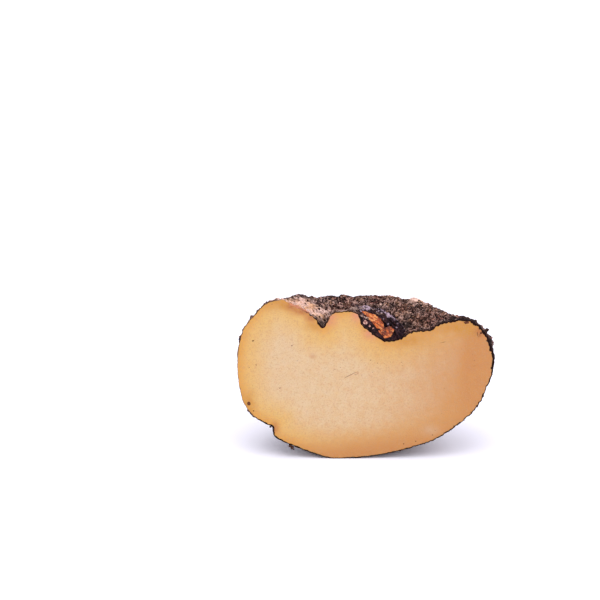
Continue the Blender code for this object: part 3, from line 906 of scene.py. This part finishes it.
def scratches():
    """Fine scratches and hairs on the cut flesh."""
    made = []
    for start, end, radius in SCRATCHES:
        ends = [(x, SCRATCH_DEPTH, z) for x, z in (start, end)]
        path = np.linspace(*ends, 12)
        path += 0.25 * noise_on(path, 2.0) * (1.0, 0.2, -1.0)
        ups = np.tile((0.0, -1.0, 0.0), (len(path), 1))
        taper = radius * (1.2 - np.abs(np.linspace(-1.0, 1.0, len(path))) ** 3)
        made.append(tube(path, ups, taper, 5))
    return made


def ball():
    """The points and faces of a small round ball."""
    body = bmesh.new()
    bmesh.ops.create_icosphere(body, subdivisions=2, radius=1.0)
    points = np.array([vertex.co for vertex in body.verts])
    faces = [tuple(vertex.index for vertex in face.verts) for face in body.faces]
    body.free()
    return points, faces


def crumb(centre, radius, draw):
    """A crumb of soil: a lumpy ball."""
    turn = np.array(Matrix.Rotation(draw.uniform(0.0, 6.3), 3, Vector((1.0, 0.7, 0.4))))
    squash = np.array([draw.uniform(0.6, 1.2) for _ in range(3)])
    seed = Vector((draw.uniform(0.0, 99.0), 0.0, 0.0))
    rough = np.array([1.0 + 0.45 * noise.noise(1.6 * Vector(p) + seed) for p in BALL[0]])
    return centre + radius * (BALL[0] * rough[:, None] * squash) @ turn.T, BALL[1]


def single_crumbs(places, draw):
    return [crumb(np.array((x, y, z)), radius, draw) for x, y, z, radius in places]


def crumbs(bark, rim, draw):
    """Soil on the bark and along the rim of the cut."""
    made = []
    allowed = bark.away_from_cut(1.5, 3.0)
    for _ in range(CRUMBS):
        index = draw.choice(allowed)
        radius = draw.uniform(*CRUMB_RADIUS)
        made.append(crumb(bark.points[index] - 0.2 * radius * bark.normals[index], radius, draw))
    for _ in range(RIM_CRUMBS):
        point = rim[draw.randrange(len(rim))]
        if point[0] > RIM_CRUMBS_FROM:
            made.append(crumb(point + (0.0, 0.5, 0.0), draw.uniform(*RIM_CRUMB_RADIUS), draw))
    return made + single_crumbs(SINGLE_CRUMBS, draw)


def flecks(draw):
    """Dark specks and pits of the cut flesh."""
    made = []
    for x, z, wide, tall in FLECKS:
        points, faces = crumb(np.zeros(3), 1.0, draw)
        made.append((points * (wide, FLECK_THICK, tall) + (x, FLECK_DEPTH, z), faces))
    return made


def nodules(draw):
    """Ring-shaped stubs of cut roots beside the bud."""
    made = []
    angle = np.linspace(0.0, 2.0 * math.pi, NODULE_SIDES, endpoint=False)
    for x, y, z, radius in NODULES:
        outline = [(share * radius, rise * radius) for share, rise in NODULE_OUTLINE]
        reach, rise = curve_through(outline, 3).T[:, :, None]
        uneven = 1.0 + 0.1 * np.sin(3.0 * angle + draw.uniform(0.0, 6.0))
        sideways, upwards = reach * np.cos(angle) * uneven, reach * np.sin(angle) * uneven
        rings = np.stack([sideways, y - rise + 0.0 * angle, upwards], axis=2)
        made.append(lofted(rings + np.array((x, 0.0, z))))
    return made


def between(lower, upper, rows):
    """Places along the bud, with the middle and half the width between two edges there."""
    along = np.linspace(lower[0][0], lower[-1][0], rows)
    low, high = profile(lower, along), profile(upper, along)
    return along, (low + high) / 2.0, (high - low) / 2.0


def bud_grid(along, middle, half, front, columns):
    """A half ring at each place along the bud, from its lower edge round the back to its upper."""
    foot, axis = np.array(BUD_FOOT), np.array(BUD_TIP) - np.array(BUD_FOOT)
    side = np.array((axis[1], -axis[0])) / np.linalg.norm(axis)
    angle = np.linspace(math.pi, 0.0, columns)
    across = middle[:, None] + half[:, None] * np.cos(angle)
    centre = foot + along[:, None] * axis
    flat = centre[:, None] + across[..., None] * side
    depth = front + BUD_DEEP * half[:, None] * np.sin(angle)
    return np.stack([flat[..., 0], depth, flat[..., 1]], axis=2)


def closed_shell(outer, inner):
    """A closed body between two grids of the same shape."""
    rows, columns = outer.shape[:2]
    numbers = np.arange(rows * columns).reshape(rows, columns)
    under = numbers + numbers.size
    around = np.concatenate(
        [numbers[0, :], numbers[1:, -1], numbers[-1, -2::-1], numbers[-2:0:-1, 0]]
    )
    faces = mesh_grid(numbers) + [face[::-1] for face in mesh_grid(under)]
    faces += strip(around, around + numbers.size)
    return np.concatenate([outer.reshape(-1, 3), inner.reshape(-1, 3)]), faces


def closed_front(grid, front):
    """A closed body from half rings, whose open front gets a streaky face of its own."""
    across = np.linspace(0.0, 1.0, 9)[None, :, None]
    face = grid[:, :1] + (grid[:, -1:] - grid[:, :1]) * across
    streak = each(lambda p: 0.6 * noise.noise(p / 1.3) + 0.5 * noise.noise(p / 3.5), face)[..., 0]
    face[..., 1] = front + streak * np.sin(math.pi * across[..., 0])
    return lofted(np.concatenate([grid, face[:, -2:0:-1]], axis=1), flipped=True)


def scale_leaf(number, reach, front):
    """One scale leaf as its outer and inner grid, with the share of each row that is its end."""
    along = np.linspace(0.0, reach, SCALE_ROWS)
    core, outside = profile(CORE_HIGH, along), profile(BUD_HIGH, along)
    high = core + (outside - core) * (len(SCALE_REACH) - number) / len(SCALE_REACH)
    low = profile(BUD_LOW, along) + 0.5 * number
    middle, half = (high + low) / 2.0, np.maximum((high - low) / 2.0, 0.6)
    ending = smoothstep(along / reach, 0.7, 1.0)
    wall = np.minimum(SCALE_THICK * (1.0 - 0.5 * ending), 0.7 * half)
    outer = bud_grid(along, middle, half, front, SCALE_COLUMNS)
    inner = bud_grid(along, middle, half - wall, front, SCALE_COLUMNS)
    apart = Vector((0.0, 0.0, 9.0 * number))
    bend = noise_on(outer, 3.4, apart) + 0.5 * noise_on(outer, 1.3, apart)
    out = normals_of(outer)
    out[..., 1] *= smoothstep(outer[..., 1], front, front + 2.0)
    cut_edge = 1.0 - smoothstep(outer[..., 1:2], front, front + 1.0)
    uneven = 1.6 * np.abs(noise_on(outer, 2.0, -apart)) * cut_edge
    torn = 2.4 * noise_on(outer, 2.4, -apart) * ending[:, None, None]
    axis = unit(np.array((BUD_TIP[0] - BUD_FOOT[0], 0.0, BUD_TIP[1] - BUD_FOOT[1])))
    for grid in (outer, inner):
        grid += bend * out + torn * axis
        grid[..., 1:2] += uneven
    return outer, inner, along, ending


def make_bud(draw):
    """The bud's scale leaves, the flakes on them and its orange core, cut along the bud."""
    leaves, blooms_and_highlights = [], []
    round_back = np.linspace(0.0, 1.0, SCALE_COLUMNS)[None, :]
    for i, (reach, front) in enumerate(zip(SCALE_REACH, SCALE_FRONT)):
        outer, inner, along, ending = scale_leaf(i, reach, front)
        leaves.append(closed_shell(outer, inner))
        # Bloom at each leaf's end and along the outer leaf's ridge; on the ridge it is partly a
        # painted highlight.
        bloom = 0.0 * round_back + ending[:, None]
        if i == 0:
            bare = np.exp(-(((along - BLOOM_AND_HIGHLIGHT_GAP[0]) / BLOOM_AND_HIGHLIGHT_GAP[1]) ** 2))
            ridge = (1.0 - bare) * smoothstep(along, *BLOOM_AND_HIGHLIGHT_STARTS)
            bloom = bloom + ridge[:, None] * smoothstep(round_back, 0.72, 0.92)
        blooms_and_highlights += [np.clip(bloom, 0.0, 1.0).ravel()] * 2
        for _ in range(BUD_FLAKES):
            row = draw.randrange(SCALE_ROWS)
            column = draw.choice((0, SCALE_COLUMNS - 1, draw.randrange(SCALE_COLUMNS)))
            leaves.append(crumb(outer[row, column], draw.uniform(*BUD_FLAKE_RADIUS), draw))
            flake_bloom_and_highlight = draw.random() ** 2 * column / SCALE_COLUMNS
            blooms_and_highlights.append(np.full(len(BALL[0]), flake_bloom_and_highlight))
    leaves += single_crumbs(PALE_FLAKES, draw)
    blooms_and_highlights.append(np.ones(len(PALE_FLAKES) * len(BALL[0])))
    # The bed beside the core gets no bloom and stays dark: the bud's dark tissue, and also painted
    # shade in the gap between the core and the flesh.
    bed = bud_grid(*between(BED_LOW, BED_HIGH, BED_ROWS), BED_FRONT, BED_COLUMNS)
    leaves.append(closed_front(bed, BED_FRONT))
    blooms_and_highlights.append(np.zeros(len(leaves[-1][0])))
    points, faces = joined(leaves)
    points[:, 1] = np.maximum(points[:, 1], 0.1)
    blooms_and_highlights = np.concatenate(blooms_and_highlights)
    piece("bud_leaves", points, faces, scales_material(), "bud_scales", "bud", bloom=blooms_and_highlights)
    lobes, lows = [], []
    girth = np.sqrt(np.clip(1.0 - np.linspace(-1.0, 1.0, CORE_ROWS) ** 6, 0.01, 1.0))
    for darker, front, lower, upper in CORE_LOBES:
        along, middle, half = between(lower, upper, CORE_ROWS)
        grid = bud_grid(along, middle, half * girth, front, CORE_COLUMNS)
        bend = each(lambda p: 0.7 * noise.noise(p / 2.6) + 0.5 * noise.noise(p / 1.1), grid)
        grid += bend * unit(grid - grid.mean(axis=(0, 1)))
        lobes.append(closed_front(grid, front))
        lows.append(np.full(len(lobes[-1][0]), darker))
    points, faces = joined(lobes)
    piece("bud_core", points, faces, core_material(), "bud_core", low=np.concatenate(lows))


def linear(colour):
    """The linear colour of an sRGB one that is given in 255ths."""
    shares = [channel / 255.0 for channel in colour]
    return (*(((s + 0.055) / 1.055) ** 2.4 if s > 0.04045 else s / 12.92 for s in shares), 1.0)


class Shader:
    """A material, its colour so far and the nodes that make it. Sizes are in millimetres."""

    def __init__(self, name, roughness, gloss, colour):
        self.material = bpy.data.materials.new(name)
        self.material.use_nodes = True
        self.tree = self.material.node_tree
        self.surface = self.tree.nodes["Principled BSDF"]
        self.surface.inputs["Roughness"].default_value = roughness
        self.surface.inputs["Specular IOR Level"].default_value = gloss
        self.place = self.tree.nodes.new("ShaderNodeTexCoord").outputs["Object"]
        self.colour = colour

    def glow_within(self, weight, radius, scale):
        """Lets light wander under the surface."""
        self.surface.inputs["Subsurface Weight"].default_value = weight
        self.surface.inputs["Subsurface Radius"].default_value = radius
        self.surface.inputs["Subsurface Scale"].default_value = scale * MM

    def node(self, kind, sockets, **settings):
        made = self.tree.nodes.new("ShaderNode" + kind)
        for key, value in settings.items():
            setattr(made, key, value)
        for key, value in sockets.items():
            self.put(made.inputs[key], value)
        return made

    def put(self, socket, value):
        if isinstance(value, bpy.types.NodeSocket):
            self.tree.links.new(value, socket)
        else:
            socket.default_value = value

    def noise(self, size, detail=3.0, distortion=0.0, place=None):
        sockets = {
            "Vector": place or self.place,
            "Scale": 1.0 / (size * MM),
            "Detail": detail,
            "Roughness": 0.6,
            "Distortion": distortion,
        }
        return self.node("TexNoise", sockets).outputs["Fac"]

    def cells(self, size, feature, place):
        sockets = {"Vector": place, "Scale": 1.0 / (size * MM)}
        return self.node("TexVoronoi", sockets, feature=feature).outputs["Distance"]

    def attribute(self, name):
        return self.node("Attribute", {}, attribute_name=name).outputs["Fac"]

    def math(self, operation, first, second):
        return self.node("Math", {0: first, 1: second}, operation=operation).outputs[0]

    def times(self, first, second):
        return self.math("MULTIPLY", first, second)

    def plus(self, value, *terms):
        """A value and more of them, each times its own factor."""
        for term, factor in terms:
            value = self.math("ADD", value, self.times(term, factor))
        return value

    def step(self, value, low, high, bottom=0.0, top=1.0):
        """A smooth rise from bottom to top while the value goes from low to high."""
        sockets = {"Value": value, "From Min": low, "From Max": high, "To Min": bottom, "To Max": top}
        made = self.node("MapRange", sockets, interpolation_type="SMOOTHSTEP")
        return made.outputs["Result"]

    def mix(self, share, first, second):
        first, second = (linear(c) if isinstance(c, tuple) else c for c in (first, second))
        sockets = {"Factor": share, 6: first, 7: second}
        return self.node("Mix", sockets, data_type="RGBA").outputs[2]

    def cover(self, share, colour):
        """Lays a share of a colour over the colour so far."""
        self.colour = self.mix(share, self.colour, colour)

    def paint(self, value, low, high, colour, bottom=0.0, top=1.0):
        """Covers with a colour by the step of a value."""
        self.cover(self.step(value, low, high, bottom, top), colour)

    def darken(self, kept, share, colour):
        """Covers a share with a colour where nothing is kept."""
        self.colour = self.mix(kept, self.mix(share, self.colour, colour), self.colour)

    def bent(self, size, amount):
        """Places that are pushed about, so that what is drawn on them gets uneven edges."""
        sockets = {"Vector": self.place, "Scale": 1.0 / (size * MM), "Detail": 2.0}
        push = self.node("TexNoise", sockets).outputs["Color"]
        moved = self.node("VectorMath", {0: push, 1: (0.5, 0.5, 0.5)}, operation="SUBTRACT")
        sockets = {0: moved.outputs[0], "Scale": amount * MM}
        scaled = self.node("VectorMath", sockets, operation="SCALE")
        return self.node("VectorMath", {0: self.place, 1: scaled.outputs[0]}).outputs[0]

    def stretched(self, angle, length):
        """Places turned in the cut face by an angle and pressed together along it."""
        sockets = {"Vector": self.place, "Rotation": (0.0, angle, 0.0)}
        turned = self.node("Mapping", sockets, vector_type="POINT")
        sockets = {0: turned.outputs[0], 1: (1.0 / length, 1.0, 1.0)}
        return self.node("VectorMath", sockets, operation="MULTIPLY").outputs[0]

    def finish(self, layers):
        """Sets the colour, and raises layers of (height, millimetres) as bumps."""
        self.put(self.surface.inputs["Base Color"], self.colour)
        normal = None
        for height, distance in layers:
            sockets = {"Height": height, "Strength": 1.0, "Distance": distance * MM}
            if normal:
                sockets["Normal"] = normal
            normal = self.node("Bump", sockets).outputs["Normal"]
        self.put(self.surface.inputs["Normal"], normal)
        return self.material


def bark_material():
    shader = Shader("bark", 0.86, 0.08, BARK_DARK)
    region, clusters = shader.noise(45.0, 2.0), shader.noise(17.0, 2.0, 0.5)
    broad, tone = shader.noise(24.0, 2.0), shader.noise(8.0, 5.0, 0.5)
    fine, grit = shader.noise(2.2, 4.0), shader.noise(0.8, 3.0)
    strokes = shader.noise(2.8, 2.5, 2.2)
    uneven = shader.bent(4.0, 3.0)
    shader.paint(tone, 0.4, 0.6, BARK_MIDDLE)
    shader.paint(broad, 0.42, 0.62, BARK_RED, 0.0, 0.6)
    shader.paint(region, 0.5, 0.62, BARK_OCHRE, 0.0, 0.65)
    shader.paint(fine, 0.5, 0.57, BARK_LIGHT, 0.0, 0.9)
    # Dark gaps in the crack colour: partly painted shade between the bark's scales.
    shader.paint(fine, 0.4, 0.47, CRACK_AND_SHADE, 0.9, 0.0)
    lilac = shader.times(shader.step(region, 0.36, 0.43, 0.8, 0.0), shader.step(fine, 0.48, 0.56))
    shader.cover(lilac, BARK_LILAC)
    shader.paint(broad, 0.38, 0.48, BARK_DARK, 0.6, 0.0)
    in_cluster = shader.step(clusters, 0.38, 0.56, 0.4, 1.0)
    shader.cover(shader.times(shader.step(strokes, 0.55, 0.6), in_cluster), BARK_PALE)
    # Dark gaps round the strokes in the crack colour: partly painted shade between the scales.
    shader.paint(strokes, 0.43, 0.49, CRACK_AND_SHADE, 1.0, 0.0)
    scab = shader.plus(shader.attribute("pale"), (fine, 1.8), (clusters, 3.5))
    scab_colour = shader.mix(shader.step(shader.noise(5.0), 0.42, 0.58), SCAB_TAN, SCAB_PINK)
    scab_colour = shader.mix(shader.step(grit, 0.42, 0.6, 0.6, 0.0), scab_colour, BARK_MIDDLE)
    shader.paint(scab, 3.05, 3.5, scab_colour, 0.0, 0.85)
    spot = shader.cells(6.5, "F1", uneven)
    ring = shader.times(shader.step(spot, 0.14, 0.2), shader.step(spot, 0.25, 0.33, 1.0, 0.0))
    shader.cover(shader.times(ring, shader.step(tone, 0.5, 0.6, 0.0, 0.7)), SCAB_TAN)
    # Cracks, the cracks between plates and the low parts of the relief are darkened: painted shade in
    # these recesses, with the cracks' own dark.
    crack = shader.step(shader.cells(4.2, "DISTANCE_TO_EDGE", uneven), 0.0, 0.07)
    crack = shader.math("MAXIMUM", crack, shader.step(grit, 0.4, 0.55))
    shader.darken(crack, 0.75, CRACK_AND_SHADE)
    shader.darken(shader.step(shader.attribute("cracks"), 0.15, 0.6), 0.6, CRACK_AND_SHADE)
    shader.darken(shader.step(shader.attribute("rise"), -0.9, 0.2), 0.55, CRACK_AND_SHADE)
    lighter = shader.math("SUBTRACT", tone, 0.4)
    crust = shader.plus(shader.attribute("crust"), (fine, 0.5), (lighter, 1.2))
    crust_colour = shader.mix(shader.step(tone, 0.42, 0.56), CRUST_TAN, CRUST_PALE)
    crust_colour = shader.mix(shader.step(fine, 0.38, 0.46, 0.8, 0.0), crust_colour, CRUST_DARK)
    crust_colour = shader.mix(shader.step(strokes, 0.36, 0.44, 0.85, 0.0), crust_colour, CRUST_DARK)
    shader.paint(crust, 0.5, 0.8, crust_colour, 0.0, 0.95)
    shader.paint(shader.plus(shader.attribute("stain"), (fine, 0.6)), 0.6, 1.0, STAIN, 0.0, 0.85)
    # The dark patches: painted shade and shadow, in the crack colour.
    dark = shader.plus(shader.attribute("dark"), (fine, 0.5))
    shader.paint(dark, 0.55, 0.95, CRACK_AND_SHADE, 0.0, 0.85)
    shader.paint(shader.attribute("cut"), 0.1, 0.6, CUT_BARK)
    calm = shader.step(crust, 0.5, 0.9, 1.0, 0.4)
    strokes, fine = shader.times(strokes, calm), shader.times(fine, calm)
    return shader.finish([(tone, 1.2), (crack, 0.4), (fine, 1.0), (strokes, 0.9), (grit, 0.4)])


def flesh_material():
    shader = Shader("flesh", 0.52, 0.35, FLESH_EDGE)
    shader.glow_within(0.25, (1.0, 0.45, 0.18), 2.5)
    broad, cloud = shader.noise(30.0, 3.0), shader.noise(6.0, 4.0)
    fine, grain = shader.noise(1.2, 3.0), shader.noise(0.5, 2.0)
    rim = shader.plus(shader.attribute("rim"), (broad, 8.0))
    shader.paint(rim, 2.0, 13.0, FLESH_NEAR)
    shader.paint(rim, 9.0, 34.0, FLESH_PALE)
    # Warmer and darker to the right and the bottom: the flesh's own warmer tone and painted shade.
    shader.paint(shader.plus(shader.attribute("warm"), (cloud, 0.3)), 0.15, 1.15, FLESH_WARM_AND_SHADE)
    for name, tint in FLESH_TINTS.items():
        clouded = shader.step(cloud, 0.3, 0.65, 0.45, 1.0)
        shader.cover(shader.times(shader.attribute(name), clouded), tint)
    shader.paint(cloud, 0.35, 0.7, FLESH_EDGE, 0.0, 0.16)
    shader.paint(fine, 0.48, 0.68, FLESH_GRAIN, 0.0, 0.45)
    shader.paint(grain, 0.52, 0.68, FLESH_GRAIN, 0.0, 0.45)
    shader.paint(shader.cells(5.5, "F1", shader.bent(4.0, 6.0)), 0.04, 0.09, FLESH_SPECK, 0.4, 0.0)
    return shader.finish([(cloud, 0.25), (fine, 0.25), (grain, 0.14)])


def scales_material():
    shader = Shader("bud_scales", 0.5, 0.12, SCALE_DARK)
    tone, fine = shader.noise(3.5, 4.0, 0.8), shader.noise(1.3, 4.0, 1.2)
    streaks = shader.noise(0.9, 3.0, 0.0, shader.stretched(BUD_ANGLE, 5.0))
    shader.paint(tone, 0.4, 0.62, SCALE_PURPLE)
    shader.paint(streaks, 0.52, 0.68, SCALE_BROWN, 0.0, 0.7)
    # Lilac bloom, partly a painted highlight on the ridge and the tip.
    bloom = shader.times(shader.attribute("bloom"), 0.55)
    bloom = shader.plus(bloom, (fine, 1.3), (tone, 0.7))
    shader.paint(bloom, 1.16, 1.6, SCALE_BLOOM_AND_HIGHLIGHT, 0.0, 0.95)
    shader.paint(streaks, 0.36, 0.46, SCALE_DARK, 0.8, 0.0)
    shader.paint(fine, 0.36, 0.46, SCALE_DARK, 0.8, 0.0)
    return shader.finish([(tone, 0.8), (streaks, 0.6), (fine, 0.5)])


def core_material():
    shader = Shader("bud_core", 0.42, 0.3, CORE_DEEP)
    shader.glow_within(0.2, (1.0, 0.4, 0.1), 1.5)
    tone, fine = shader.noise(3.0, 3.0, 0.6), shader.noise(0.7, 3.0)
    streaks = shader.noise(1.5, 3.0, 0.6, shader.stretched(BUD_ANGLE, 3.5))
    shader.paint(tone, 0.38, 0.6, CORE_ORANGE)
    shader.paint(streaks, 0.5, 0.64, CORE_LIGHT)
    shader.paint(streaks, 0.34, 0.45, CORE_BROWN, 0.95, 0.0)
    shader.paint(fine, 0.56, 0.7, CORE_LIGHT, 0.0, 0.4)
    low = shader.times(shader.attribute("low"), shader.step(tone, 0.35, 0.65, 0.6, 0.0))
    shader.cover(low, CORE_BROWN)
    return shader.finish([(streaks, 0.8), (tone, 0.5), (fine, 0.3)])


def sun(name, towards, softness, strength, colour):
    light = bpy.data.lights.new(name, "SUN")
    light.angle = math.radians(softness)
    light.energy = strength
    light.color = colour
    obj = bpy.data.objects.new(name, light)
    obj.rotation_euler = Vector(towards).to_track_quat("-Z", "Y").to_euler()
    bpy.context.collection.objects.link(obj)


def white_studio():
    """A world that lights softly, and that looks white itself."""
    world = bpy.data.worlds.new("studio")
    world.use_nodes = True
    nodes, links = world.node_tree.nodes, world.node_tree.links
    lighting = nodes["Background"]
    lighting.inputs["Color"].default_value = (*SKY_COLOUR, 1.0)
    lighting.inputs["Strength"].default_value = SKY_STRENGTH
    backdrop = nodes.new("ShaderNodeBackground")
    backdrop.inputs["Color"].default_value = (1.0, 1.0, 1.0, 1.0)
    seen = nodes.new("ShaderNodeLightPath").outputs["Is Camera Ray"]
    both = nodes.new("ShaderNodeMixShader")
    links.new(seen, both.inputs[0])
    links.new(lighting.outputs[0], both.inputs[1])
    links.new(backdrop.outputs[0], both.inputs[2])
    links.new(both.outputs[0], nodes["World Output"].inputs["Surface"])
    bpy.context.scene.world = world


def make_stage():
    """The pale floor, the soft light and the camera."""
    white_studio()
    bpy.ops.mesh.primitive_plane_add(size=FLOOR_SIZE)
    floor = bpy.context.object
    floor.name = "floor"
    paper = bpy.data.materials.new("floor")
    paper.use_nodes = True
    surface = paper.node_tree.nodes["Principled BSDF"]
    surface.inputs["Base Color"].default_value = (*FLOOR_COLOUR, 1.0)
    surface.inputs["Roughness"].default_value = FLOOR_ROUGHNESS
    surface.inputs["Specular IOR Level"].default_value = FLOOR_GLOSS
    floor.data.materials.append(paper)
    for light in LIGHTS:
        sun(*light)
    camera = bpy.data.cameras.new("camera")
    camera.lens, camera.sensor_width = LENS, SENSOR
    obj = bpy.data.objects.new("camera", camera)
    obj.location = CAMERA_PLACE
    obj.rotation_euler = (math.radians(90.0 - CAMERA_ELEVATION), 0.0, 0.0)
    bpy.context.collection.objects.link(obj)
    bpy.context.scene.camera = obj
    bpy.context.scene.view_settings.view_transform = "Standard"


BALL = ball()

noise.seed_set(SEED)  # else Blender seeds noise_vector by the clock
draw = random.Random(SEED)
coarse = smooth_corm(1)
spots = boss_spots(coarse, draw)
bosses = [(coarse[spot], draw.uniform(*BOSS_RADIUS), draw.uniform(*BOSS_HEIGHT)) for spot in spots]
solid_surface = coarse + solid_relief(coarse, bosses)[..., None] * normals_of(coarse)
PLACE = place_in_model(rim_of(coarse))

smooth = smooth_corm(DETAIL)
surface, rise, pale, cracks = corm_surface(smooth, bosses, drawing("skin"))
rim, front, back, out = loops_of(smooth, surface)
marks = {"rise": rise, "pale": pale, "cracks": cracks}
make_skin(surface, front, back, marks, bark_material())
make_flesh(front, back, out, drawing("flesh"), flesh_material())

bark = Ground(surface)
roots = thread_roots(solid_surface, spots, bark, draw)
roots += strewn(ROOTLETS, bark, drawing("rootlets"))
plain_piece("roots", "roots", "root_bark", roots)
fibres = strewn(FIBRES, bark, drawing("fibres")) + strands(drawing("strands"))
plain_piece("fibres", "roots", "fibre", fibres)
make_bud(drawing("bud"))
plain_piece("root_stubs", "flesh", "stubs", nodules(drawing("stubs")))
plain_piece("soil", "bark", "soil", crumbs(bark, rim, drawing("soil")))
plain_piece("flecks", "bark", "specks", flecks(drawing("flecks")) + scratches())
make_stage()
